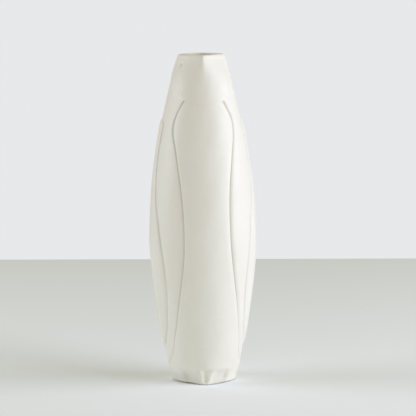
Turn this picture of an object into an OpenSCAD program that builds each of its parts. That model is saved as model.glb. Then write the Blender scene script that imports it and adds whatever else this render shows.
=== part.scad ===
// Flower vase, a closed bud of overlapping clay petals with a small four-cornered mouth.
// Millimetres, +Z up, origin on the table under the middle of the foot, front towards -Y.

/* [Outline] */
// Height from the table to the top of the lip
vase_h = 420; // [380:5:460]
// Radius of the body at its widest
belly_r = 66.2; // [62:0.1:71]
// Height of the widest place
belly_z = 177; // [165:1:195]
// Radius of the body at the table, carried straight down
foot_r = 41.4; // [39:0.1:44]
// Radius of the body at the corners of the mouth
mouth_r = 28.6; // [27:0.1:33]
// How full the body is below the belly
lower_fullness = 1.41; // [1.3:0.01:1.6]
// How full the body is above the belly
upper_fullness = 2.08; // [1.9:0.01:2.2]

/* [Clay] */
// Thickness of the vessel wall behind the petals
wall_t = 5; // [4:0.5:6]
// Thickness of a side band at its crown
band_t = 2; // [1.5:0.1:2.5]
// Thickness of a side band under its leaf
band_under_t = 0.8; // [0.6:0.1:1]
// How far the broad petals sway round the body, in degrees
petal_sway = 2.4; // [0:0.1:4]
// How far the broad petals are turned round the body, in degrees
petal_twist = 0.7; // [-1:0.1:1]
// How far the petals and the middle of a leaf stand out from the bands
petal_step = 2.3; // [1.8:0.1:2.8]
// How far a petal stands out just below its collar
petal_top_step = 1.3; // [1:0.1:1.6]
// How far the edge of a leaf stands out
leaf_edge_step = 1.1; // [0.8:0.1:1.6]
// How far the collars stand out at the mouth
collar_step = 0.8; // [0.6:0.1:1.2]
// How far each piece is bedded into the wall by its slip joint
bed = 0.4; // [0.2:0.1:0.6]

/* [Mouth] */
// Shape of the mouth, from 1.1 for a sharp square to 2 for a circle
mouth_shape = 1.22; // [1.15:0.01:1.5]
// Height over which the square mouth turns into the round body
mouth_blend = 38; // [30:1:50]
// Height of the lip
lip_h = 3; // [2.5:0.1:4]
// How much lower the lip is at the front than at the back
lip_tilt = 2.4; // [0:0.1:4]

/* [Foot] */
// Shape of the foot, from 1.3 for a square to 2 for a circle
foot_shape = 1.5; // [1.4:0.01:1.8]
// Height of the pleated foot below the petals
foot_h = 22; // [20:1:26]
// Depth of the pleat pressed into the front and back of the foot
pleat_depth = 3.8; // [0:0.1:4]
// How far a pleat sits off the middle, in degrees
pleat_turn = -2.5; // [-4:0.5:4]
// Depth of the thumbed hollows beside each pleat
thumb_depth = 3.3; // [0:0.1:4]
// Height of the clay pushed up along a hollow's outer side
thumb_rim = 0.5; // [0:0.1:1]
// Thickness of the base slab
slab_t = 7; // [6:0.5:9]
// Radius of the foot at its corners, down at the table
slab_r = 40; // [39:0.1:41]
// Height of the undercut round the base slab
undercut_h = 3; // [2:0.1:4]
// How far in the undercut goes
undercut_in = 2.5; // [1:0.1:5]
// Radius of the recess under the base slab
recess_r = 27; // [22:1:29]
// Depth of the recess under the base slab
recess_depth = 1.5; // [1:0.1:2.5]

/* [Hidden] */

// The lip's height at the front, which every height on the body is measured against.
front_h = vase_h - lip_tilt;

glaze = [0.95, 0.94, 0.91];
bisque = [0.86, 0.82, 0.75];

// Half the front petal's width in degrees, against height in hundredths of the vase's height.
petal_edge = [[5.2, 88.5], [6.6, 74], [9.5, 58.5], [14, 50.9], [19, 43.6], [26, 36.5], [33.5, 30.2],
    [41, 26.1], [48, 25.3], [55, 26.2], [62, 29.3], [69, 34.6], [72, 37.6], [76.2, 42.6], [78.6, 44.1],
    [80.5, 44.3], [82.6, 43.6], [87.1, 39.6], [92.2, 33.2], [94.1, 30.2]];
// Half the side leaf's width in degrees, against the same height.
leaf_edge = [[10, 0.8], [13, 13.5], [16.7, 25.5], [20, 30.7], [26, 36], [33, 37.1], [40, 35.4], [46, 31.5],
    [50.5, 28], [56, 19.8], [61, 14], [66, 11.3], [73, 10.6], [78, 12], [80, 8.5], [80.8, 0.8]];
// Where a leaf starts and ends, as shares of the vase's height.
leaf_foot = 0.1;
leaf_top = 0.808;
// The collar's lower edge, from the middle of the front up to the corner at the side.
collar_front = 0.852;
collar_side = 0.941;
// Where the petals and bands start to bend so that they follow the collar's edge.
warp_from = 0.786;

// How finely each surface is drawn.
wall_cols = 96;
foot_rows = 10;
outer_rows = 24;
inner_rows = 14;
skin_rows = 34;
leaf_rows = 26;
petal_cols = [0, 0.03, 0.07, 0.13, 0.2, 0.28, 0.36, 0.43, 0.5, 0.57, 0.64, 0.72, 0.8, 0.87, 0.93, 0.97, 1];
leg_cols = [0, 0.08, 0.25, 0.5, 0.75, 0.92, 1];
leaf_cols = [0, 0.06, 0.2, 0.4, 0.6, 0.8, 0.94, 1];
collar_cols = 28;

function clamp(x, low = 0, high = 1) = min(max(x, low), high);
function smooth(x) = let(t = clamp(x)) t * t * (3 - 2 * t);
function mix(a, b, t) = a + (b - a) * t;

// A smooth curve through the points of a table of [x, y].
function span(table, x, i = 0) = i >= len(table) - 2 || x < table[i + 1][0] ? i : span(table, x, i + 1);
function slope(table, i) = let(a = max(i - 1, 0), b = min(i + 1, len(table) - 1))
    (table[b][1] - table[a][1]) / (table[b][0] - table[a][0]);
function curve(table, x) = let(
    i = span(table, x),
    d = table[i + 1][0] - table[i][0],
    t = clamp((x - table[i][0]) / d))
    table[i][1] * (1 + 2 * t) * (1 - t) * (1 - t)
    + table[i + 1][1] * t * t * (3 - 2 * t)
    + slope(table, i) * d * t * (1 - t) * (1 - t)
    - slope(table, i + 1) * d * t * t * (1 - t);

// The body: its radius at a height, and how square its section is there.
function body_r(z) = z < belly_z
    ? belly_r - (belly_r - foot_r) * pow((belly_z - z) / belly_z, lower_fullness)
    : belly_r - (belly_r - mouth_r) * pow((z - belly_z) / (front_h - belly_z), upper_fullness);
function squareness(z) = 2
    - (2 - mouth_shape) * smooth((z - front_h + mouth_blend) / mouth_blend)
    - (2 - foot_shape) * smooth((2 * foot_h - z) / (2 * foot_h));
function section(z, a) = let(p = squareness(z))
    pow(pow(abs(cos(a)), p) + pow(abs(sin(a)), p), -1 / p);

// A point at a height, an angle round from the front, and an offset from the body's radius.
// The top leans up towards the back.
tilt_from = 0.85;
function at(z, a, offset) = let(
    r = body_r(z) * section(z, a) + offset,
    lean = lip_tilt * (1 - cos(a)) / 2 * smooth((z / front_h - tilt_from) / (1 - tilt_from)))
    [r * sin(a), -r * cos(a), z + lean];

// The broad petals rise out of the foot to their full step, and sink again below the collar.
// They sway one way above sway_z and the other way below it. sway_h is half a wave, and both are shares
// of the height.
petal_root = 0.5;
rise_h = 3.5 * foot_h;
sway_z = 0.535;
sway_h = 0.6;
function petal_half(z) = curve(petal_edge, 100 * z / front_h);
function petal_turn(z) = (petal_twist - petal_sway * sin(180 * (z / front_h - sway_z) / sway_h))
    * smooth((z - foot_h) / (1.5 * foot_h));
function petal_lift(z) = mix(petal_root, petal_step, smooth((z - foot_h) / rise_h))
    - (petal_step - petal_top_step) * smooth((z / front_h - 0.6) / 0.2);
function leaf_half(z) = curve(leaf_edge, 100 * z / front_h);
function collar_lift(z) = mix(petal_top_step, collar_step, (z / front_h - collar_front) / (1 - collar_front));

// The height of the collar's lower edge, and how the rows below it bend to follow it.
function collar_low(a) = front_h * mix(collar_front, collar_side, 1 - abs(cos(a)));
function bend(z, a) = let(from = warp_from * front_h)
    z < from ? z : from + (z - from) * (collar_low(a) - from) / (collar_side * front_h - from);

// The foot: a pleat pressed in at the front and the back, with a thumbed hollow on each side of it.
// Places and widths are in degrees round the body. The pleat opens out from its narrow end at the table.
pleat_low = 5;
pleat_left = 11;
pleat_right = 18;
hollow_from = 2;
hollow_to = 49;
rim_at = 55;
rim_w = 5;
function fold(z, a) = let(
    t = clamp(z / foot_h),
    turned = (a + 90) % 180 - 90,
    c = abs(turned),
    off = turned - pleat_turn,
    across = smooth(1 - abs(off) / mix(pleat_low, off < 0 ? pleat_left : pleat_right, t)),
    pleat = across * smooth(t / 0.35) * smooth((1 - t) / 0.12),
    along = smooth(t / 0.5) * smooth((1 - t) / 0.4),
    hollow = along * smooth((c - hollow_from) / 24) * smooth((hollow_to - c) / 11),
    rim = exp(-pow((c - rim_at) / rim_w, 2)) * smooth(t / 0.3) * smooth((1.15 - t) / 0.25))
    pleat_depth * mix(0.75, 1, t) * pleat + thumb_depth * hollow - thumb_rim * rim;
function foot_offset(z, a) = mix(slab_r - body_r(0), petal_root, smooth(z / foot_h)) - fold(z, a);

// Closed sheets. A grid of outer points and a grid of inner points, joined round the edge.
function grid_faces(rows, cols, start, turned) = [for (i = [0 : rows - 2], j = [0 : cols - 2])
    let(a = start + i * cols + j, b = a + 1, c = a + cols + 1, d = a + cols)
    each turned ? [[a, b, c], [a, c, d]] : [[a, c, b], [a, d, c]]];
function rim_faces(rows, cols, under) = [
    for (j = [0 : cols - 2]) let(a = j, b = j + 1) each [[a, b, under + b], [a, under + b, under + a]],
    for (j = [0 : cols - 2]) let(a = (rows - 1) * cols + j, b = a + 1)
        each [[a, under + b, b], [a, under + a, under + b]],
    for (i = [0 : rows - 2]) let(a = i * cols, b = a + cols)
        each [[a, under + b, b], [a, under + a, under + b]],
    for (i = [0 : rows - 2]) let(a = i * cols + cols - 1, b = a + cols)
        each [[a, b, under + b], [a, under + b, under + a]]];
module sheet(outer, inner) {
    rows = len(outer);
    cols = len(outer[0]);
    points = [for (row = outer) each row, for (row = inner) each row];
    faces = [
        each grid_faces(rows, cols, 0, false),
        each grid_faces(rows, cols, rows * cols, true),
        each rim_faces(rows, cols, rows * cols)];
    polyhedron(points, faces, convexity = 8);
}

// A closed sleeve from a list of rings, each ring joined to the next and the last to the first.
module sleeve(rings) {
    rows = len(rings);
    cols = len(rings[0]);
    points = [for (ring = rings) each ring];
    faces = [for (i = [0 : rows - 1], j = [0 : cols - 1])
        let(k = (i + 1) % rows, l = (j + 1) % cols,
            a = i * cols + j, b = i * cols + l, c = k * cols + l, d = k * cols + j)
        each [[a, c, b], [a, d, c]]];
    polyhedron(points, faces, convexity = 8);
}

function heights(low, high, n) = [for (i = [0 : n]) mix(low, high, i / n)];
function ring(z, offset) = [for (j = [0 : wall_cols - 1]) at(z, 360 * j / wall_cols, offset)];
function foot_ring(z) = [for (j = [0 : wall_cols - 1])
    let(a = 360 * j / wall_cols) at(z, a, foot_offset(z, a))];

// The watertight vessel: pleated foot, plain wall behind the petals, rounded lip, and the inside.
module vessel_wall() {
    lip_z = front_h - lip_h;
    lip_in = collar_step - wall_t;
    edge = 1.3;
    seam = 0.5;
    inside = -band_t - wall_t;
    inner = heights(slab_t, lip_z - 4, inner_rows);
    down = function(q) front_h - edge * (1 - sin(q));
    rounded = function(q) edge * (1 - cos(q));
    color(glaze) sleeve([
        for (z = heights(slab_t, foot_h - seam, foot_rows)) foot_ring(z),
        for (z = heights(foot_h, lip_z, outer_rows)) ring(z, -band_t),
        ring(lip_z + seam / 2, collar_step),
        for (q = [0, 45, 90]) ring(down(q), collar_step - rounded(q)),
        for (q = [90, 45, 0]) ring(down(q), lip_in + rounded(q)),
        for (i = [inner_rows : -1 : 0]) ring(inner[i], inside)]);
}

// The base slab that closes the vessel. It carries on the foot's folded outline, is undercut round its
// lower edge, and has a shallow recess under it.
module base_slab() {
    outline = [for (p = foot_ring(slab_t)) [p.x, p.y]];
    narrow = (slab_r - undercut_in) / slab_r;
    color(bisque) difference() {
        union() {
            linear_extrude(slab_t) polygon(narrow * outline);
            translate([0, 0, undercut_h]) linear_extrude(slab_t - undercut_h) polygon(outline);
        }
        translate([0, 0, -1]) cylinder(r = recess_r, h = recess_depth + 1, $fn = wall_cols);
    }
}

// How much of a skin's thickness is left at its rounded-off edge.
edge_share = 0.72;

// A broad petal, on the front or (turned) on the back, with a crisp edge.
module petal() {
    rows = heights(foot_h, collar_side * front_h, skin_rows);
    turn = function(z, t) petal_turn(z) + petal_half(z) * (2 * t - 1);
    edge = function(t) mix(edge_share, 1, clamp(min(t, 1 - t) / 0.06));
    outer = [for (z = rows) [for (t = petal_cols) let(a = turn(z, t), h = bend(z, a))
        at(h, a, -band_t + (band_t + petal_lift(h)) * edge(t))]];
    inner = [for (z = rows) [for (t = petal_cols) let(a = turn(z, t)) at(bend(z, a), a, -band_t - bed)]];
    color(glaze) sheet(outer, inner);
}

// A side band: an inner petal that swells like a pillow on each side of its leaf.
module side_band() {
    rows = heights(foot_h, collar_side * front_h, skin_rows);
    blend_h = 8;
    hidden = function(z) smooth((z - leaf_foot * front_h) / blend_h)
        * smooth((leaf_top * front_h - z) / blend_h);
    pillow = function(t) sqrt(1 - pow(2 * clamp(t, 0.02, 0.98) - 1, 4));
    front = function(z, t) mix(petal_half(z) + petal_turn(z), 90 - leaf_half(z), t);
    back = function(z, t) mix(180 - petal_half(z) + petal_turn(z), 90 + leaf_half(z), t);
    last = len(leg_cols) - 1;
    leg = function(z, t) let(
        alone = pillow(t / 2),
        paired = mix(pillow(t), band_under_t / band_t, t < 1 ? 0 : 1))
        band_t * max(mix(alone, paired, hidden(z)), 0.2);
    angles = function(z) [for (t = leg_cols) front(z, t), for (i = [last : -1 : 0]) back(z, leg_cols[i])];
    depths = function(z) [for (t = leg_cols) leg(z, t), for (i = [last : -1 : 0]) leg(z, leg_cols[i])];
    outer = [for (z = rows) let(turns = angles(z), thick = depths(z))
        [for (j = [0 : len(turns) - 1]) at(bend(z, turns[j]), turns[j], thick[j] - band_t)]];
    inner = [for (z = rows) [for (a = angles(z)) at(bend(z, a), a, -band_t - bed)]];
    color(glaze) sheet(outer, inner);
}

// A slim leaf laid on the band, pointed at both ends.
module leaf() {
    rows = [for (i = [0 : leaf_rows]) front_h * mix(leaf_foot, leaf_top, (1 - cos(180 * i / leaf_rows)) / 2)];
    turn = function(z, t) 90 + leaf_half(z) * (2 * t - 1);
    inward = function(z, t) min(t, 1 - t) * 2 * leaf_half(z) * PI / 180 * body_r(z);
    crown_w = 14;
    crown = function(z, t) mix(leaf_edge_step, petal_step, smooth(inward(z, t) / crown_w));
    edge = function(t) mix(edge_share, 1, clamp(min(t, 1 - t) / 0.1));
    outer = [for (z = rows) [for (t = leaf_cols) at(z, turn(z, t), crown(z, t) * edge(t))]];
    inner = [for (z = rows) [for (t = leaf_cols) at(z, turn(z, t), band_under_t - band_t - bed)]];
    color(glaze) sheet(outer, inner);
}

// A collar over the top of a petal, from its soft lower edge up to the lip.
module collar() {
    climb = [0, 0.03, 0.07, 0.12, 0.2, 0.3, 0.4, 0.5, 0.6, 0.7, 0.8, 0.9, 1];
    angles = [for (j = [0 : collar_cols]) 90 * (2 * j / collar_cols - 1)];
    rise = function(a, t) mix(collar_low(a), front_h - lip_h, t);
    edge = function(t) mix(edge_share, 1, smooth(t / 0.12));
    outer = [for (t = climb) [for (a = angles) let(z = rise(a, t))
        at(z, a, -band_t + (band_t + collar_lift(z)) * edge(t))]];
    inner = [for (t = climb) [for (a = angles) at(rise(a, t), a, -band_t - bed)]];
    color(glaze) sheet(outer, inner);
}

module left_side_band() {
    rotate([0, 0, 180]) side_band();
}
module right_side_band() {
    side_band();
}
module front_petal() {
    petal();
}
module back_petal() {
    rotate([0, 0, 180]) petal();
}
module left_leaf() {
    rotate([0, 0, 180]) leaf();
}
module right_leaf() {
    leaf();
}
module front_collar() {
    collar();
}
module back_collar() {
    rotate([0, 0, 180]) collar();
}

vessel_wall();
base_slab();
left_side_band();
right_side_band();
front_petal();
back_petal();
left_leaf();
right_leaf();
front_collar();
back_collar();
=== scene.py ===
import math

import bpy
import numpy as np
from mathutils import Euler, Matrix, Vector


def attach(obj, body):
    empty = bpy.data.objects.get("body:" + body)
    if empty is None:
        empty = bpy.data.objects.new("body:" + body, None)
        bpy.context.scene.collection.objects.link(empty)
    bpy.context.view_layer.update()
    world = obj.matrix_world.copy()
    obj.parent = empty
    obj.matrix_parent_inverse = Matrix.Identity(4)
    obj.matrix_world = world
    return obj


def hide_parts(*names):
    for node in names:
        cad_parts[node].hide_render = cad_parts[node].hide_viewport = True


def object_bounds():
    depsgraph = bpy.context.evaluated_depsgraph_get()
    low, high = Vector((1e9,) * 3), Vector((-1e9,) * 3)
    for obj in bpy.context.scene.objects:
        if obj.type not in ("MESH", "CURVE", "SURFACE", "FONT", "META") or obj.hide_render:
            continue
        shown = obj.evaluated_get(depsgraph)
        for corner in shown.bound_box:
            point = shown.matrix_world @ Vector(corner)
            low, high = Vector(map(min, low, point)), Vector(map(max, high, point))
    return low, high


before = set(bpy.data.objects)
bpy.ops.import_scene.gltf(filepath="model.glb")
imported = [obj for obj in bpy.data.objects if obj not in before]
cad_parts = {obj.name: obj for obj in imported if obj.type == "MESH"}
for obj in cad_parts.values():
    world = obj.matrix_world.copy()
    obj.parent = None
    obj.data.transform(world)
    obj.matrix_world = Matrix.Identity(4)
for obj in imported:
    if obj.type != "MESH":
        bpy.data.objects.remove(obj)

cad_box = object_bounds()

# ---------------------------------------------------------------- driving sizes, in millimetres
MM = 0.001
VASE_H = (cad_box[1].z - cad_box[0].z) / MM
LIP_TILT = 2.4           # how much lower the CAD's lip is at the front than at the back
FRONT_H = VASE_H - LIP_TILT
LIP_FRONT = 0.8          # how far the finished lip stands above FRONT_H at the front
LIP_BACK = 1.6           # and at the back
LEAN_FROM = 0.85         # where the body starts to lean up to that lip, as a share of FRONT_H

# The body: its radius at the belly, the foot and the mouth, and how full it is between them.
BELLY_R = 66.2
BELLY_Z = 177.0
FOOT_R = 41.4
MOUTH_R = 28.6
LOWER_FULLNESS = 1.41
UPPER_FULLNESS = 2.08

# How thick the clay is, and how far each skin stands proud of the body.
WALL_T = 5.0
BAND_T = 2.0
LEAF_T = 1.2
BED = 0.4                # how deep a skin is bedded into the wall behind it
PETAL_FOOT_STEP = 0.5
PETAL_STEP = 2.3
PETAL_TOP_STEP = 1.3
PETAL_RISE_FOOTS = 3.5   # the petal's edge rises over this many foot heights
PETAL_SINK_FROM = 0.6    # and sinks again from this share of FRONT_H
PETAL_SINK_OVER = 0.2
COLLAR_STEP = 0.8

# The mouth and the foot. A shape of 2 is round. Nearer to 1 it is a square with a corner at the front, the
# back and each side.
MOUTH_SHAPE = 1.22
MOUTH_INNER_SHAPE = 1.75
MOUTH_BLEND = 38.0       # the height over which the round body turns into the mouth's shape
LIP_H = 3.0
LIP_ROUND = 0.55         # below 1 fills out the lip's rounding
FOOT_SHAPE = 1.5
FOOT_H = 22.0
FOOT_TOP_OFFSET = 0.5    # how far the foot's top stands proud of the body

# The foot's pleat and thumbed hollows. Widths and places are degrees from the middle of the front.
PLEAT_DEPTH = 3.8
PLEAT_TURN = -2.5
PLEAT_LOW = 5.0          # half its width at the bottom
PLEAT_LEFT = 11.0        # and at the top, on its left and its right
PLEAT_RIGHT = 18.0
PLEAT_LOW_SHARE = 0.75   # its depth at the bottom, as a share of PLEAT_DEPTH
THUMB_DEPTH = 3.3
THUMB_FROM = 2.0
THUMB_IN = 24.0          # how wide the hollow's slope is on the pleat's side
THUMB_TO = 49.0
THUMB_OUT = 11.0         # and on its far side
THUMB_LOW_SHARE = 0.2    # its depth at the bottom, as a share of THUMB_DEPTH
THUMB_RIM = 0.5          # the height of the rim pushed up beside a hollow
THUMB_RIM_AT = 55.0
THUMB_RIM_HALF = 5.0
FOOT_POOL_SHADE = 0.75         # how much glaze pooled in the foot's hollows, with shade painted there, darker towards the bottom
FOOT_POOL_SHADE_FROM = 4.0
FOOT_POOL_SHADE_IN = 14.0
FOOT_POOL_SHADE_TO = 50.0      # where it ends on the right
FOOT_POOL_SHADE_OUT = 10.0

# The slab under the vase: the gap below the foot's glazed edge, and the recess in its underside.
SLAB_T = 7.0
SLAB_R = 40.0
GAP_PLEAT = 1.1          # the gap under the pleat, and away from it on the left and the right
GAP_LEFT = 2.5
GAP_RIGHT = 1.6
GAP_FROM = 5.0           # degrees from the middle
GAP_OVER = 30.0
RING_ROUND = 3.6         # how far in the rounded edge of the ring that it stands on runs
RECESS_R = 27.0
RECESS_DEPTH = 1.5
RECESS_CORNER = 1.0      # how far in from RECESS_R its flat top starts
HUB_R = 0.5              # the small circle where the slab's rings begin and end

# Half widths in degrees against height in hundredths of FRONT_H.
PETAL_EDGE = [(5.2, 88.5), (6.6, 74), (9.5, 58.5), (14, 50.9), (19, 43.6), (26, 36.5), (33.5, 30.2),
              (41, 26.1), (48, 25.3), (55, 26.2), (62, 29.3), (69, 34.6), (72, 37.6), (76.2, 42.6),
              (78.6, 44.1), (80.5, 44.3), (82.6, 43.6), (87.1, 39.6), (92.2, 33.2), (94.1, 30.2)]
LEAF_EDGE = [(10, 0.8), (13, 13.5), (16.7, 25.5), (20, 30.7), (26, 36), (33, 37.1), (40, 35.4), (46, 31.5),
             (50.5, 28), (56, 19.8), (61, 14), (66, 11.3), (73, 10.6), (78, 12), (80, 8.5), (80.8, 0.8)]
PETAL_SWAY = 2.4         # how far the petal's middle line sways to each side, in degrees
PETAL_TWIST = 0.7        # and how far it is turned as a whole
SWAY_Z = 0.535           # where it crosses the middle, and half a sway's height, as shares of FRONT_H
SWAY_H = 0.6
SETTLE_FOOTS = 1.5       # the sway starts over this many foot heights above the foot
LEAF_FOOT = 0.1          # the leaf's lowest and highest point, as shares of FRONT_H
LEAF_TOP = 0.808
COLLAR_FRONT = 0.852     # the collar's lower edge in the middle and at the sides, as shares of FRONT_H
COLLAR_SIDE = 0.941
WARP_FROM = 0.786        # where rows start to bend towards that edge

# A fingertip dimple beside the left corner of the mouth.
DIMPLE_Z = 405.0
DIMPLE_TURN = math.radians(-62)
DIMPLE_R = 2.0
DIMPLE_SQUASH = 0.7      # below 1 makes it taller than it is wide
DIMPLE_DEPTH = 1.3

# Hand shaping's waviness: depth, waves round the body, height for one radian of drift, start in radians.
WAVES = [(0.22, 3, 70, 1.3), (0.16, 5, -41, 0.4), (0.07, 9, 19, 0.0), (0.05, 13, -11, 2.0)]
WAVES_FADE_LOW = 60.0
WAVES_FADE_HIGH = 30.0

# Steps in from an edge, close together where it is rounded or worked. A piece narrower than STEPS_NEEDED
# times their reach gets them squeezed.
EDGE_STEPS = (0, 0.06, 0.2, 0.42, 0.7, 1.05, 1.5, 2.1, 3.0, 4.2, 6.0)
BAND_STEPS = (0, 0.5, 1.0, 1.5, 2.0, 2.6, 3.3, 4.1, 5.0, 6.0, 7.2)
STEPS_NEEDED = 2.2
SKIN_ROWS = 240
RING_TURNS = np.linspace(0, 2 * math.pi, 361)[:-1]

# Heights, as shares of FRONT_H, that the numbers in a side's style belong to.
TRIM_AT = (0.12, 0.2, 0.3, 0.4, 0.45, 0.52, 0.6)
WEAR_AT = (0.12, 0.18, 0.25, 0.33, 0.45, 0.6, 0.7)
CHANNEL_AT = (0.66, 0.73, 0.78, 0.84, 0.88)
POOL_SHADE_AT = (0.2, 0.45, 0.65, 0.78)


# ---------------------------------------------------------------- curves of the body
def smooth(x):
    t = np.clip(x, 0.0, 1.0)
    return t * t * (3 - 2 * t)


def mix(a, b, t):
    return a + (b - a) * t


def curve(table, x):
    """A smooth curve through the points of a table."""
    xs = np.array([p[0] for p in table], float)
    ys = np.array([p[1] for p in table], float)
    before = np.maximum(np.arange(len(xs)) - 1, 0)
    after = np.minimum(np.arange(len(xs)) + 1, len(xs) - 1)
    slopes = (ys[after] - ys[before]) / (xs[after] - xs[before])
    x = np.asarray(x, float)
    i = np.clip(np.searchsorted(xs, x, side="right") - 1, 0, len(xs) - 2)
    d = xs[i + 1] - xs[i]
    t = np.clip((x - xs[i]) / d, 0.0, 1.0)
    return (ys[i] * (1 + 2 * t) * (1 - t) ** 2 + ys[i + 1] * t * t * (3 - 2 * t)
            + slopes[i] * d * t * (1 - t) ** 2 - slopes[i + 1] * d * t * t * (1 - t))


def body_r(z):
    """The body's radius at a height, before its section gets its corners."""
    low = np.clip((BELLY_Z - z) / BELLY_Z, 0, None) ** LOWER_FULLNESS
    high = np.clip((z - BELLY_Z) / (FRONT_H - BELLY_Z), 0, None) ** UPPER_FULLNESS
    return BELLY_R - (BELLY_R - FOOT_R) * low - (BELLY_R - MOUTH_R) * high


def squareness(z):
    """The power of the section's curve at a height: 2 is a circle."""
    return (2 - (2 - MOUTH_SHAPE) * smooth((z - FRONT_H + MOUTH_BLEND) / MOUTH_BLEND)
            - (2 - FOOT_SHAPE) * smooth((2 * FOOT_H - z) / (2 * FOOT_H)))


def section(z, a):
    """The section's radius at an angle, as a share of the body's radius."""
    p = squareness(z)
    return (np.abs(np.cos(a)) ** p + np.abs(np.sin(a)) ** p) ** (-1 / p)


def dimple(z, a):
    """How deep the fingertip dimple is at a point."""
    across = ((a + math.pi) % (2 * math.pi) - math.pi - DIMPLE_TURN) * body_r(z)
    return DIMPLE_DEPTH * np.exp(-(across ** 2 + DIMPLE_SQUASH * (z - DIMPLE_Z) ** 2) / DIMPLE_R ** 2)


def uneven(z, a):
    """The slight waviness of a body shaped by hand, and its dimple."""
    waves = sum(depth * np.sin(count * a + z / drift + start) for depth, count, drift, start in WAVES)
    return waves * smooth(z / WAVES_FADE_LOW) * smooth((FRONT_H - z) / WAVES_FADE_HIGH) - dimple(z, a)


def points(z, a, offset):
    """Points at heights z and angles a round from the front, offset from the body, in millimetres."""
    z, a, offset = np.broadcast_arrays(z, a, offset)
    r = body_r(z) * section(z, a) + offset + uneven(z, a)
    lift = mix(LIP_FRONT, LIP_BACK, (1 - np.cos(a)) / 2)
    lean = lift * smooth((z / FRONT_H - LEAN_FROM) / (1 - LEAN_FROM))
    return np.stack([r * np.sin(a), -r * np.cos(a), z + lean], axis=-1)


def petal_half(z):
    """Half the petal's width at a height, as an angle."""
    return np.radians(curve(PETAL_EDGE, 100 * z / FRONT_H))


def petal_turn(z):
    """How far the petal's middle line is turned from the front at a height."""
    settle = smooth((z - FOOT_H) / (SETTLE_FOOTS * FOOT_H))
    return settle * np.radians(PETAL_TWIST - PETAL_SWAY * np.sin(math.pi * (z / FRONT_H - SWAY_Z) / SWAY_H))


def leaf_half(z, style):
    """Half a leaf's width, less what was trimmed off that side's leaf."""
    trim = np.interp(z / FRONT_H, TRIM_AT, style["trim"])
    return np.radians(curve(LEAF_EDGE, 100 * z / FRONT_H) - trim)


def petal_lift(z):
    """How far the petal stands proud of the body at a height."""
    rise = smooth((z - FOOT_H) / (PETAL_RISE_FOOTS * FOOT_H))
    sink = smooth((z / FRONT_H - PETAL_SINK_FROM) / PETAL_SINK_OVER)
    return PETAL_FOOT_STEP + (PETAL_STEP - PETAL_FOOT_STEP) * rise - (PETAL_STEP - PETAL_TOP_STEP) * sink


def collar_lift(z):
    """How far the collar stands proud of the body at a height."""
    below_lip = np.clip((FRONT_H - z) / ((1 - COLLAR_FRONT) * FRONT_H), 0, 1)
    return mix(COLLAR_STEP, PETAL_TOP_STEP, below_lip)


def collar_low(a):
    """The height of the collar's lower edge, which rises towards the sides."""
    return FRONT_H * (COLLAR_FRONT + (COLLAR_SIDE - COLLAR_FRONT) * (1 - np.abs(np.cos(a))))


def bend(z, a):
    """Rows below the collar bend to follow its lower edge."""
    start = WARP_FROM * FRONT_H
    follow = start + (z - start) * (collar_low(a) - start) / (COLLAR_SIDE * FRONT_H - start)
    return np.where(z < start, z, follow)


# ---------------------------------------------------------------- mesh making
SHARP_ANGLE = math.radians(38)
HIDDEN_SHADE = 0.3       # pooled glaze and painted shade on a skin's bedded face, which is not seen but tints the sides of the skin's edge


def new_object(name, verts, faces, material, pool_and_painted_shade):
    """A smooth mesh object from points in millimetres, with the pooled glaze and painted shade at each point.
    """
    mesh = bpy.data.meshes.new(name)
    mesh.from_pydata((np.asarray(verts) * MM).tolist(), [], faces)
    mesh.validate()
    mesh.shade_smooth()
    mesh.set_sharp_from_angle(angle=SHARP_ANGLE)
    layer = mesh.attributes.new("pool_and_painted_shade", "FLOAT", "POINT")
    layer.data.foreach_set("value", np.asarray(pool_and_painted_shade, np.float32).ravel())
    mesh.materials.append(material)
    piece = bpy.data.objects.new(name, mesh)
    bpy.context.scene.collection.objects.link(piece)
    return piece


def sheet(name, outer, inner, material, pool_and_painted_shade):
    """A closed sheet from a grid of outer points and a grid of inner points."""
    rows, cols = outer.shape[:2]
    under = rows * cols
    verts = np.concatenate([outer.reshape(-1, 3), inner.reshape(-1, 3)])
    faces = []
    for i in range(rows - 1):
        for j in range(cols - 1):
            a = i * cols + j
            b, c, d = a + 1, a + cols + 1, a + cols
            faces.append((a, b, c, d))
            faces.append((under + a, under + d, under + c, under + b))
    for j in range(cols - 1):
        a, top = j, (rows - 1) * cols + j
        faces.append((a, under + a, under + a + 1, a + 1))
        faces.append((top, top + 1, under + top + 1, under + top))
    for i in range(rows - 1):
        a, far = i * cols, i * cols + cols - 1
        faces.append((a, a + cols, under + a + cols, under + a))
        faces.append((far, under + far, under + far + cols, far + cols))
    shade = np.concatenate([pool_and_painted_shade.ravel(), np.full(under, HIDDEN_SHADE)])
    return new_object(name, verts, faces, material, shade)


def sleeve(name, rings, material, pool_and_painted_shade):
    """A closed sleeve from rings, the last of which joins the first."""
    rows, cols = rings.shape[:2]
    faces = []
    for i in range(rows):
        for j in range(cols):
            above, beside = (i + 1) % rows, (j + 1) % cols
            faces.append((i * cols + j, i * cols + beside, above * cols + beside, above * cols + j))
    return new_object(name, rings.reshape(-1, 3), faces, material, pool_and_painted_shade)


def from_edges(half, radius, count):
    """Angles across a piece and how far in they are: close together at both edges, even in between."""
    length = half * radius
    near = np.array(EDGE_STEPS)
    near = near * np.minimum(1.0, length / (STEPS_NEEDED * near[-1]))
    middle = np.linspace(near[-1], length, count)[1:]
    inward = np.concatenate([near, middle])
    angles = half - inward / radius
    return np.concatenate([-angles, angles[::-1][1:]]), np.concatenate([inward, inward[::-1][1:]])


def rounded(distance, radius):
    """How far a rounded edge has dropped at a distance in from it."""
    inside = np.clip(radius - distance, 0, radius)
    return radius - np.sqrt(radius * radius - inside * inside)


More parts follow.
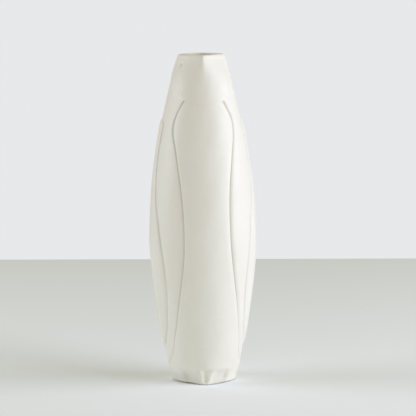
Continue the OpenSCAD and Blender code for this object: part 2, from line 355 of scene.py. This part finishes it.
# ---------------------------------------------------------------- materials
CREAM = (0.905, 0.88, 0.81)
CREAM_CLOUD = (0.875, 0.845, 0.765)
CREAM_MOTTLE = (0.86, 0.83, 0.75)
# the colour of pooled glaze, and of the shade painted into grooves and creases
POOLED_GLAZE_AND_SHADE = (0.70, 0.675, 0.60)
CLAY_PALE = (0.56, 0.48, 0.37)
CLAY_DEEP = (0.49, 0.42, 0.32)
CLAY_GRIT = (0.33, 0.27, 0.2)
FLOOR_PALE = (0.93, 0.955, 0.97, 1)
FLOOR_GLOW = (0.8, 0.9, 1.0, 1)
FLOOR_GLOW_STRENGTH = 0.06


def noise(nodes, links, place, scale, detail):
    """A noise texture over the object, its scale in blobs a metre."""
    texture = nodes.new("ShaderNodeTexNoise")
    texture.inputs["Scale"].default_value = scale
    texture.inputs["Detail"].default_value = detail
    links.new(place.outputs["Object"], texture.inputs["Vector"])
    return texture


def blend(nodes, links, factor, a, b):
    """A colour between two colours, or from a socket to a colour."""
    mixer = nodes.new("ShaderNodeMix")
    mixer.data_type = "RGBA"
    for name, value in (("A", a), ("B", b)):
        if isinstance(value, tuple):
            mixer.inputs[name].default_value = (*value, 1)
        else:
            links.new(value, mixer.inputs[name])
    links.new(factor, mixer.inputs["Factor"])
    return mixer.outputs["Result"]


def remap(nodes, links, value, low, high, start=0.3, stop=0.7):
    """A texture's value from start to stop, stretched over low to high."""
    ranged = nodes.new("ShaderNodeMapRange")
    for name, number in (("From Min", start), ("From Max", stop), ("To Min", low), ("To Max", high)):
        ranged.inputs[name].default_value = number
    links.new(value, ranged.inputs["Value"])
    return ranged.outputs["Result"]


def bumps(nodes, links, height, strength, depth, under=None):
    """A bumped normal, its depth in millimetres, on top of another normal if there is one."""
    bump = nodes.new("ShaderNodeBump")
    bump.inputs["Strength"].default_value = strength
    bump.inputs["Distance"].default_value = depth * MM
    links.new(height, bump.inputs["Height"])
    if under is not None:
        links.new(under, bump.inputs["Normal"])
    return bump.outputs["Normal"]


def glaze_material():
    """A satin cream glaze: cloudy, unevenly glossy, faintly rippled, and darker where it pools and where
    shade is painted into its grooves, creases and foot.
    """
    material = bpy.data.materials.new("satin_glaze")
    material.use_nodes = True
    nodes, links = material.node_tree.nodes, material.node_tree.links
    shader = nodes["Principled BSDF"]
    shader.inputs["IOR"].default_value = 1.5
    place = nodes.new("ShaderNodeTexCoord")
    cloud = noise(nodes, links, place, scale=14.0, detail=4.0)
    mottle = noise(nodes, links, place, scale=160.0, detail=3.0)
    ripple = noise(nodes, links, place, scale=45.0, detail=2.0)
    skin = noise(nodes, links, place, scale=1400.0, detail=2.0)
    clouding = remap(nodes, links, cloud.outputs["Fac"], low=0.0, high=1.0)
    mottling = remap(nodes, links, mottle.outputs["Fac"], low=0.0, high=0.35)
    base = blend(nodes, links, clouding, CREAM, CREAM_CLOUD)
    base = blend(nodes, links, mottling, base, CREAM_MOTTLE)
    # pooled glaze and painted shade, read from each point's attribute
    pool_and_painted_shade = nodes.new("ShaderNodeAttribute")
    pool_and_painted_shade.attribute_name = "pool_and_painted_shade"
    base = blend(nodes, links, pool_and_painted_shade.outputs["Fac"], base, POOLED_GLAZE_AND_SHADE)
    links.new(base, shader.inputs["Base Color"])
    gloss = remap(nodes, links, mottle.outputs["Fac"], low=0.36, high=0.50)
    links.new(gloss, shader.inputs["Roughness"])
    normal = bumps(nodes, links, ripple.outputs["Fac"], strength=0.5, depth=0.25)
    normal = bumps(nodes, links, skin.outputs["Fac"], strength=0.25, depth=0.04, under=normal)
    links.new(normal, shader.inputs["Normal"])
    return material


def clay_material():
    """Bare fired clay: matt, gritty and speckled."""
    material = bpy.data.materials.new("bare_clay")
    material.use_nodes = True
    nodes, links = material.node_tree.nodes, material.node_tree.links
    shader = nodes["Principled BSDF"]
    place = nodes.new("ShaderNodeTexCoord")
    cloud = noise(nodes, links, place, scale=60.0, detail=3.0)
    grit = noise(nodes, links, place, scale=900.0, detail=2.0)
    clouding = remap(nodes, links, cloud.outputs["Fac"], low=0.0, high=1.0)
    speckles = remap(nodes, links, grit.outputs["Fac"], low=0.0, high=1.0, start=0.58, stop=0.66)
    base = blend(nodes, links, clouding, CLAY_PALE, CLAY_DEEP)
    base = blend(nodes, links, speckles, base, CLAY_GRIT)
    links.new(base, shader.inputs["Base Color"])
    links.new(remap(nodes, links, grit.outputs["Fac"], low=0.8, high=0.95), shader.inputs["Roughness"])
    links.new(bumps(nodes, links, grit.outputs["Fac"], strength=0.6, depth=0.15), shader.inputs["Normal"])
    return material


def floor_material():
    """A matt pale floor, with a faint glow of its own that keeps its shadows light."""
    material = bpy.data.materials.new("pale_floor")
    material.use_nodes = True
    shader = material.node_tree.nodes["Principled BSDF"]
    shader.inputs["Base Color"].default_value = FLOOR_PALE
    shader.inputs["Roughness"].default_value = 1.0
    shader.inputs["Specular IOR Level"].default_value = 0.0
    shader.inputs["Emission Color"].default_value = FLOOR_GLOW
    shader.inputs["Emission Strength"].default_value = FLOOR_GLOW_STRENGTH
    return material


GLAZE = glaze_material()
CLAY = clay_material()


# ---------------------------------------------------------------- pieces
PETAL_COLS = 26
PETAL_SLOPE = 0.35       # how far the petal eases down towards its edge, as a share of its height
PETAL_SLOPE_W = 8.0
PETAL_ROUND = 1.1
PETAL_POOL_SHADE_W = 0.6       # how far onto the petal the pooled glaze and painted shade at its edge reach


def petal_piece(name, node, turn):
    """The broad petal on the front, or turned to the back."""
    rows = np.linspace(FOOT_H, COLLAR_SIDE * FRONT_H, SKIN_ROWS)
    outer, inner, shade = [], [], []
    for z in rows:
        a, inward = from_edges(float(petal_half(z)), float(body_r(z)) + PETAL_STEP, PETAL_COLS)
        a = a + float(petal_turn(z))
        h = bend(z, a)
        slope = PETAL_SLOPE * np.clip(1 - inward / PETAL_SLOPE_W, 0, 1) ** 2 * petal_lift(h)
        top = petal_lift(h) - slope - rounded(inward, PETAL_ROUND)
        outer.append(points(h, a + turn, top))
        inner.append(points(h, a + turn, -BAND_T - BED))
        # pooled glaze and painted shade along the petal's edge
        shade.append(np.clip(1 - inward / PETAL_POOL_SHADE_W, 0, 1))
    piece = sheet(name, np.array(outer), np.array(inner), GLAZE, np.array(shade))
    finish_piece(piece, node)


def leaf_wear(z, style):
    """How strongly a leaf's edge was worked at a height."""
    return float(np.interp(z / FRONT_H, WEAR_AT, style["wear"]))


LEAF_BED_LEAST = 0.4     # the leaf's groove where its edge was not worked, as a share of its depth
SLIM_FROM = 0.42         # where the leaf's slim upper half starts, as a share of FRONT_H
SLIM_OVER = 0.15
SLIM_BREADTH = 1.7


def leaf_bed(z, style):
    """How deep the groove round a leaf is at a height."""
    return style["leaf_dip"] * mix(LEAF_BED_LEAST, 1.0, leaf_wear(z, style))


def leaf_breadth(z):
    """The groove round a leaf is broader beside its slim upper half."""
    return float(mix(1.0, SLIM_BREADTH, smooth((z / FRONT_H - SLIM_FROM) / SLIM_OVER)))


STRAP_COLS = 9
TUCK_W = 3.0             # how far a strap runs in under the leaf
TUCK_SHARE = 0.9         # at most this share of half the leaf's width
TUCK_STEPS = np.array([0.3, 0.65, 1.0])
NO_LEAF = 99.0           # a distance that stands for no leaf at that height
LOW_FADE_H = 100.0       # the groove by the petal gets its full depth over this height
LEAF_CHANNEL = 0.8
LEAF_GROOVE_W = 4.5
LEAF_GROOVE_POWER = 1.6
PETAL_POOL_SHADE = (1.3, 2.2)  # pooled glaze and painted shade in the groove by the petal: its strength at the edge, and how fast it thins out
LEAF_POOL_SHADE = (1.4, 2.4)   # and in the groove by the leaf
PAIR_LOW = 8.0           # the heights over which the two straps meet below the leaf and above it
PAIR_HIGH = 2.5


def band_leg(z, start, leaf, paired, style):
    """Angles, depths, and pooled glaze with painted shade, of one strap at one height, from the petal's edge
    to under the leaf.
    """
    r = float(body_r(z))
    length = (math.pi / 2 - leaf - start) * r
    near = np.array(BAND_STEPS)
    near = near * min(1.0, length / (STEPS_NEEDED * near[-1]))
    middle = np.linspace(near[-1], length - near[-1], STRAP_COLS)[1:-1]
    under = length + min(TUCK_W, TUCK_SHARE * leaf * r) * TUCK_STEPS
    across = np.concatenate([near, middle, (length - near)[::-1], under])
    from_leaf = mix(NO_LEAF, np.clip(length - across, 0, None), paired)
    broad = leaf_breadth(z)

    channel = float(np.interp(z / FRONT_H, CHANNEL_AT, style["channel"]))
    deep = style["deep"] * float(mix(style["low"], 1.0, smooth((z - FOOT_H) / LOW_FADE_H)))
    dip_petal = deep * np.clip(1 - np.clip(across - channel, 0, None) / style["spread"], 0, 1) ** 2
    near_leaf = np.clip(1 - np.clip(from_leaf - LEAF_CHANNEL, 0, None) / (LEAF_GROOVE_W * broad), 0, 1)
    dip_leaf = leaf_bed(z, style) * near_leaf ** LEAF_GROOVE_POWER

    # pooled glaze and painted shade in the grooves beside the petal and the leaf, set for each side and
    # height
    pool_shade = np.interp(z / FRONT_H, POOL_SHADE_AT, style["pool_shade"])
    by_petal = pool_shade * np.clip(PETAL_POOL_SHADE[0] - (across - channel) / PETAL_POOL_SHADE[1], 0, 1)
    thin = np.clip(LEAF_POOL_SHADE[0] - from_leaf / (LEAF_POOL_SHADE[1] * broad), 0, 1)
    by_leaf = style["leaf_pool_shade"] * leaf_wear(z, style) * thin
    return start + across / r, np.maximum(dip_petal, dip_leaf), np.maximum(by_petal, by_leaf)


def band_piece(name, node, turn, style):
    """The band on one side: its front strap and its back strap, which meet under the leaf."""
    rows = np.linspace(FOOT_H, COLLAR_SIDE * FRONT_H, SKIN_ROWS)
    outer, inner, pool_and_shade_rows = [], [], []
    for z in rows:
        half, sway, leaf = float(petal_half(z)), float(petal_turn(z)), float(leaf_half(z, style))
        above_foot = smooth((z - LEAF_FOOT * FRONT_H) / PAIR_LOW)
        below_top = smooth((LEAF_TOP * FRONT_H - z) / PAIR_HIGH)
        paired = float(above_foot * below_top)
        front, front_depth, front_shade = band_leg(z, half + sway, leaf, paired, style)
        back, back_depth, back_shade = band_leg(z, half - sway, leaf, paired, style)
        a = np.concatenate([front, math.pi - back[::-1]])
        depth = np.concatenate([front_depth, back_depth[::-1]])
        h = bend(z, a)
        outer.append(points(h, a + turn, -depth))
        inner.append(points(h, a + turn, -BAND_T - BED))
        pool_and_shade_rows.append(np.concatenate([front_shade, back_shade[::-1]]))
    piece = sheet(name, np.array(outer), np.array(inner), GLAZE, np.array(pool_and_shade_rows))
    finish_piece(piece, node)


LEAF_ROWS = 150
LEAF_COLS = 16
LEAF_FLANK_W = 5.0       # how far in from its edge a leaf climbs
LEAF_CROWN_W = 14.0      # and how far in it reaches its full height
LEAF_RIM = 0.15          # how far its very edge stands above the groove's floor
LEAF_POOL_SHADE_W = 2.2


def leaf_piece(name, node, turn, style):
    """The slim leaf on one side."""
    rows = FRONT_H * mix(LEAF_FOOT, LEAF_TOP, (1 - np.cos(np.linspace(0, math.pi, LEAF_ROWS))) / 2)
    outer, inner, shade = [], [], []
    for z in rows:
        half = float(leaf_half(z, style))
        a, inward = from_edges(half, float(body_r(z)) + PETAL_STEP, LEAF_COLS)
        flank = 1 - np.clip(1 - inward / LEAF_FLANK_W, 0, 1) ** 2
        crown = (PETAL_STEP - style["leaf_edge"]) * smooth(inward / LEAF_CROWN_W)
        lift = mix(LEAF_RIM - leaf_bed(z, style), style["leaf_edge"], flank) + crown
        outer.append(points(z, a + turn, lift))
        inner.append(points(z, a + turn, -LEAF_T - BED))
        # pooled glaze and painted shade along the leaf's edge, in the groove round it
        fade = np.clip(1 - inward / LEAF_POOL_SHADE_W, 0, 1)
        shade.append(style["leaf_pool_shade"] * leaf_wear(z, style) * fade)
    piece = sheet(name, np.array(outer), np.array(inner), GLAZE, np.array(shade))
    finish_piece(piece, node)


COLLAR_COLS = 121
COLLAR_EDGE = 0.15       # the share of a collar's height with close rows, for its rounded lower edge
COLLAR_EDGE_ROWS = 14
COLLAR_ROWS = 40
SIDE_FROM = 0.3          # radians from the middle, where the lower edge starts to thin
SIDE_OVER = 0.6
MIDDLE_EDGE = (0.1, 3.5)     # how far the edge is thinned, and how wide, in the middle and at the sides
SIDE_EDGE = (0.85, 3.0)
# pooled glaze and painted shade at the collar's lower edge, in the crease
COLLAR_POOL_SHADE = 0.1


def collar_piece(name, node, turn):
    """The collar over the top of a petal."""
    edge_rows = np.linspace(0, COLLAR_EDGE, COLLAR_EDGE_ROWS)[:-1]
    climb = np.concatenate([edge_rows, np.linspace(COLLAR_EDGE, 1, COLLAR_ROWS)])
    a = np.linspace(-math.pi / 2, math.pi / 2, COLLAR_COLS)
    outer, inner, shade = [], [], []
    for t in climb:
        z = mix(collar_low(a), FRONT_H - LIP_H, t)
        above = z - collar_low(a)
        side = smooth((np.abs(a) - SIDE_FROM) / SIDE_OVER)
        near_edge = np.clip(1 - above / mix(MIDDLE_EDGE[1], SIDE_EDGE[1], side), 0, 1)
        drop = mix(MIDDLE_EDGE[0], SIDE_EDGE[0], side) * near_edge ** 2
        outer.append(points(z, a + turn, collar_lift(z) - drop))
        inner.append(points(z, a + turn, -BAND_T - BED))
        shade.append(np.clip(1 - above, 0, 1) * COLLAR_POOL_SHADE)
    piece = sheet(name, np.array(outer), np.array(inner), GLAZE, np.array(shade))
    finish_piece(piece, node)


def from_face(a):
    """Degrees from the middle of the front, or from the middle of the back for angles on that side."""
    return np.degrees((a + math.pi / 2) % math.pi - math.pi / 2)


# How each fold fades, as shares of the foot's height: over how much at its bottom and at its top.
PLEAT_FADE = (0.35, 0.12)
THUMB_FADE = (0.5, 0.4)
RIM_FADE = (0.3, 0.25)
RIM_TOP = 1.15           # the rim runs on a little above the foot


def fold(z, a):
    """The pleat pressed into the front and back of the foot, and the thumbed hollow on each side of it."""
    t = np.clip(z / FOOT_H, 0, 1)
    turn = from_face(a)
    from_pleat = turn - PLEAT_TURN
    pleat_half = np.where(from_pleat < 0, mix(PLEAT_LOW, PLEAT_LEFT, t), mix(PLEAT_LOW, PLEAT_RIGHT, t))
    pleat = smooth(1 - np.abs(from_pleat) / pleat_half)
    pleat = pleat * smooth(t / PLEAT_FADE[0]) * smooth((1 - t) / PLEAT_FADE[1])
    c = np.abs(turn)
    along = mix(THUMB_LOW_SHARE, 1.0, smooth(t / THUMB_FADE[0])) * smooth((1 - t) / THUMB_FADE[1])
    hollow = smooth((c - THUMB_FROM) / THUMB_IN) * smooth((THUMB_TO - c) / THUMB_OUT) * along
    rim = np.exp(-((c - THUMB_RIM_AT) / THUMB_RIM_HALF) ** 2)
    rim = rim * smooth(t / RIM_FADE[0]) * smooth((RIM_TOP - t) / RIM_FADE[1])
    return PLEAT_DEPTH * mix(PLEAT_LOW_SHARE, 1.0, t) * pleat + THUMB_DEPTH * hollow - THUMB_RIM * rim


def foot_offset(z, a):
    """How far the foot's outside is from the body's curve."""
    t = np.clip(z / FOOT_H, 0, 1)
    return mix(SLAB_R - body_r(0), FOOT_TOP_OFFSET, smooth(t)) - fold(z, a)


def foot_pool_shade(z, a):
    """Glaze that ran down and pooled in the foot's hollows, and painted shade there darkening towards the
    foot's lower edge, but not on the pleat.
    """
    turn = from_face(a)
    right_end = np.where(turn > 0, smooth((FOOT_POOL_SHADE_TO - turn) / FOOT_POOL_SHADE_OUT), 1.0)
    hollows = smooth((np.abs(turn) - FOOT_POOL_SHADE_FROM) / FOOT_POOL_SHADE_IN) * right_end
    return FOOT_POOL_SHADE * hollows * smooth(1 - z / FOOT_H)


def inner_fill(z, a):
    """How much rounder the mouth is on its inside: clay left in its four corners."""
    p = MOUTH_INNER_SHAPE
    inner = (np.abs(np.cos(a)) ** p + np.abs(np.sin(a)) ** p) ** (-1 / p)
    middle = math.pi / 4
    keep = section(z, middle) / (2 * math.cos(middle) ** p) ** (-1 / p)
    return body_r(z) * (section(z, a) - keep * inner)


FOOT_ROWS = 34
SIDE_ROWS = 70
LIP_ROWS = 15
INSIDE_FROM = 4.0        # how far under the lip's rounding the rows of the inside start


def wall_piece():
    """The vessel: the foot, the wall behind the skins, the lip and the inside."""
    a = RING_TURNS
    lip_z = FRONT_H - LIP_H
    inside = -BAND_T - WALL_T
    rings, shade = [], []

    def add(z, offset, pool_and_painted_shade=0.0):
        rings.append(points(z, a, offset))
        shade.append(np.full(len(a), pool_and_painted_shade))

    for z in np.linspace(SLAB_T, FOOT_H, FOOT_ROWS):
        add(z, foot_offset(z, a), foot_pool_shade(z, a))
    # the wall behind the skins, seen only in the grooves between them, has full pooled glaze and painted
    # shade
    for z in np.linspace(FOOT_H, lip_z, SIDE_ROWS):
        add(z, -BAND_T, 1.0)
    half = WALL_T / 2
    for t in np.linspace(0, math.pi, LIP_ROWS):
        lean = math.cos(t)
        rise = math.sin(t)
        fill = inner_fill(FRONT_H, a) * (1 - lean) / 2
        add(FRONT_H - LIP_H + LIP_H * rise ** LIP_ROUND, COLLAR_STEP - half + half * lean - fill)
    for z in np.linspace(lip_z - INSIDE_FROM, SLAB_T, SIDE_ROWS):
        add(z, inside - inner_fill(z, a) * smooth((z - FRONT_H + MOUTH_BLEND) / MOUTH_BLEND))
    piece = sleeve("Vessel", np.array(rings), GLAZE, np.array(shade))
    finish_piece(piece, "vessel_wall")


SLAB_EDGE_ROWS = 10
RING_ROWS = 8
SLAB_LAP = 3.0           # the glaze laps this far onto the slab's top
CHAMFER = 0.4            # where the glaze ends, this far below the edge and in from it
CHAMFER_MID = 0.25       # how far below the edge the chamfer's middle is
RECESS_ROWS = 5
RECESS_SLANT = 0.4       # how far the recess's wall leans to each side of RECESS_R
RECESS_SOFT = 0.15       # where the recess's wall starts and stops, away from its corners


def slab_piece():
    """The slab that closes the bottom: glazed at its edge, bare clay on its top and underside."""
    a = RING_TURNS
    rings, bare = [], []

    def add(z, r, clay=True):
        z, r = np.broadcast_arrays(z, r, a)[:2]
        rings.append(np.stack([r * np.sin(a), -r * np.cos(a), z], axis=-1))
        bare.append(clay)

    turn = from_face(a)
    side_gap = np.where(turn < 0, GAP_LEFT, GAP_RIGHT)
    gap = mix(GAP_PLEAT, side_gap, smooth((np.abs(turn) - GAP_FROM) / GAP_OVER))
    edge = body_r(gap) * section(gap, a) + foot_offset(gap, a)
    add(SLAB_T, HUB_R)
    add(SLAB_T, edge / 2)
    add(SLAB_T, edge - SLAB_LAP, False)
    for t in np.linspace(0, 1, SLAB_EDGE_ROWS):
        h = mix(SLAB_T, gap, t)
        add(h, body_r(h) * section(h, a) + foot_offset(h, a), False)
    add(gap - CHAMFER_MID, edge - CHAMFER / 4, False)
    add(gap - CHAMFER, edge - CHAMFER)
    for t in np.linspace(0, math.pi / 2, RING_ROWS):
        add((gap - CHAMFER) * math.cos(t), edge - 2 * CHAMFER - RING_ROUND * math.sin(t))
    add(0.0, RECESS_R + 2 * RECESS_SLANT)
    for t in np.linspace(0, 1, RECESS_ROWS):
        h = mix(RECESS_SOFT, RECESS_DEPTH - RECESS_SOFT, t)
        add(h, RECESS_R + RECESS_SLANT - 2 * RECESS_SLANT * t)
    add(RECESS_DEPTH, RECESS_R - RECESS_CORNER)
    add(RECESS_DEPTH, RECESS_R / 2)
    add(RECESS_DEPTH, HUB_R)
    rings = np.array(rings)
    # the slab's glazed edge carries on the foot's pooled glaze and painted shade
    piece = sleeve("Base_slab", rings, GLAZE, foot_pool_shade(rings[:, :, 2], a))
    piece.data.materials.append(CLAY)
    for face in piece.data.polygons:
        ring = min(face.vertices) // len(a)
        face.material_index = 1 if bare[ring] else 0
    finish_piece(piece, "base_slab")


def finish_piece(piece, node):
    """Every piece rides on the one body and takes its CAD node's place."""
    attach(piece, "root")
    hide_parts(node)


# How the two sides were worked. Lengths are in millimetres, trim is in degrees, and the rest are shares.
#   deep       depth of the groove beside the petal
#   low        its depth near the foot, as a share of that
#   spread     how wide its slope is
#   channel    how wide its flat floor is, at the heights in CHANNEL_AT
#    pool_shade how much pooled glaze and painted shade lie in it, at the heights in POOL_SHADE_AT
#   leaf_edge  how far the leaf's flank stands above the body
#   leaf_dip   depth of the groove round the leaf
#    leaf_pool_shade  how much pooled glaze and painted shade lie in that one
#   wear       how strongly the leaf's edge was worked, at the heights in WEAR_AT
#   trim       how much was cut off the leaf's half width, at the heights in TRIM_AT
RIGHT = {"deep": 2.6, "low": 1.0, "spread": 7.0, "channel": (1.2, 2.2, 2.4, 2.7, 1.3),
         "pool_shade": (1.1, 1.3, 1.4, 1.6), "leaf_edge": 0.7, "leaf_dip": 0.5, "leaf_pool_shade": 0.3,
         "wear": (0.9, 1.0, 1.6, 1.6, 1.5, 1.0, 1.0), "trim": (0.5, 3.6, 4.0, 3.7, 3.4, 2.0, 0.0)}
LEFT = {"deep": 0.7, "low": 0.8, "spread": 2.2, "channel": (0.9, 1.1, 2.9, 0.7, 0.2),
        "pool_shade": (0.4, 0.0, 0.15, 0.95), "leaf_edge": 0.95, "leaf_dip": 0.9, "leaf_pool_shade": 0.85,
        "wear": (0.8, 0.45, 0.1, 0.3, 0.7, 1.1, 1.4), "trim": (0.5, 1.0, 0.0, 1.0, 1.6, 2.8, 0.3)}

HALF_TURN = math.pi
petal_piece("Petal_front", "front_petal", 0.0)
petal_piece("Petal_back", "back_petal", HALF_TURN)
band_piece("Side_band_right", "right_side_band", 0.0, RIGHT)
band_piece("Side_band_left", "left_side_band", HALF_TURN, LEFT)
leaf_piece("Leaf_right", "right_leaf", HALF_TURN / 2, RIGHT)
leaf_piece("Leaf_left", "left_leaf", -HALF_TURN / 2, LEFT)
collar_piece("Collar_front", "front_collar", 0.0)
collar_piece("Collar_back", "back_collar", HALF_TURN)
wall_piece()
slab_piece()


# ---------------------------------------------------------------- stage, light and camera
def add_floor():
    """A floor that ends behind the vase, in metres, its far edge a little nearer on the right."""
    mesh = bpy.data.meshes.new("Floor")
    near, back, side, slant = -3.0, 1.126, 4.0, 0.117
    near_corners = [(-side, near, 0), (side, near, 0)]
    far_corners = [(side, back - slant * side, 0), (-side, back + slant * side, 0)]
    mesh.from_pydata(near_corners + far_corners, [], [(0, 1, 2, 3)])
    mesh.materials.append(floor_material())
    floor = bpy.data.objects.new("Floor", mesh)
    bpy.context.scene.collection.objects.link(floor)


LIGHT_AWAY = 2.6
LIGHT_AIM = Vector((0.0, 0.0, 0.2))
KEY_COLOR = (0.78, 0.825, 0.99)
FILL_COLOR = (0.775, 0.83, 1.0)
ROOM_LIGHT = (1.0, 0.915, 0.59, 1)
ROOM_STRENGTH = 0.335
BACKDROP = (0.80, 0.81, 0.83, 1)


def area_light(name, turn, climb, size, power, color):
    """A square soft light aimed at the vase. Its turn from the front and its climb are in degrees."""
    turn, climb = math.radians(turn), math.radians(climb)
    away = Vector((math.sin(turn) * math.cos(climb), -math.cos(turn) * math.cos(climb), math.sin(climb)))
    light = bpy.data.lights.new(name, "AREA")
    light.size = size
    light.energy = power
    light.color = color
    lamp = bpy.data.objects.new(name, light)
    lamp.location = LIGHT_AIM + LIGHT_AWAY * away
    lamp.rotation_euler = away.to_track_quat("Z", "Y").to_euler()
    lamp.visible_camera = False
    bpy.context.scene.collection.objects.link(lamp)


def add_world():
    """Warm room light on the vase, in front of a pale backdrop."""
    world = bpy.data.worlds.new("Studio")
    world.use_nodes = True
    nodes, links = world.node_tree.nodes, world.node_tree.links
    room = nodes["Background"]
    room.inputs["Color"].default_value = ROOM_LIGHT
    room.inputs["Strength"].default_value = ROOM_STRENGTH
    backdrop = nodes.new("ShaderNodeBackground")
    backdrop.inputs["Color"].default_value = BACKDROP
    ray = nodes.new("ShaderNodeLightPath")
    choose = nodes.new("ShaderNodeMixShader")
    links.new(ray.outputs["Is Camera Ray"], choose.inputs["Fac"])
    links.new(room.outputs["Background"], choose.inputs[1])
    links.new(backdrop.outputs["Background"], choose.inputs[2])
    links.new(choose.outputs["Shader"], nodes["World Output"].inputs["Surface"])
    bpy.context.scene.world = world


def add_camera():
    """A long lens a little left of the front, looking slightly down; distances are in metres."""
    azimuth = math.radians(-4.0)
    distance, height = 2.668, 0.5286
    pitch, yaw, roll = math.radians(6.555), math.radians(-0.147), math.radians(-0.516)
    lens = bpy.data.cameras.new("Camera")
    lens.sensor_width = 36.0
    lens.lens = 182.0
    camera = bpy.data.objects.new("Camera", lens)
    camera.location = (distance * math.sin(azimuth), -distance * math.cos(azimuth), height)
    turn = Euler((math.pi / 2 - pitch, 0.0, azimuth + yaw)).to_matrix() @ Euler((0.0, 0.0, roll)).to_matrix()
    camera.rotation_euler = turn.to_euler()
    bpy.context.scene.collection.objects.link(camera)
    bpy.context.scene.camera = camera


add_floor()
area_light("Key", turn=66, climb=21, size=2.4, power=64.3, color=KEY_COLOR)
area_light("Fill", turn=-92, climb=20, size=1.6, power=30.4, color=FILL_COLOR)
add_world()
add_camera()
bpy.context.scene.view_settings.view_transform = "Standard"
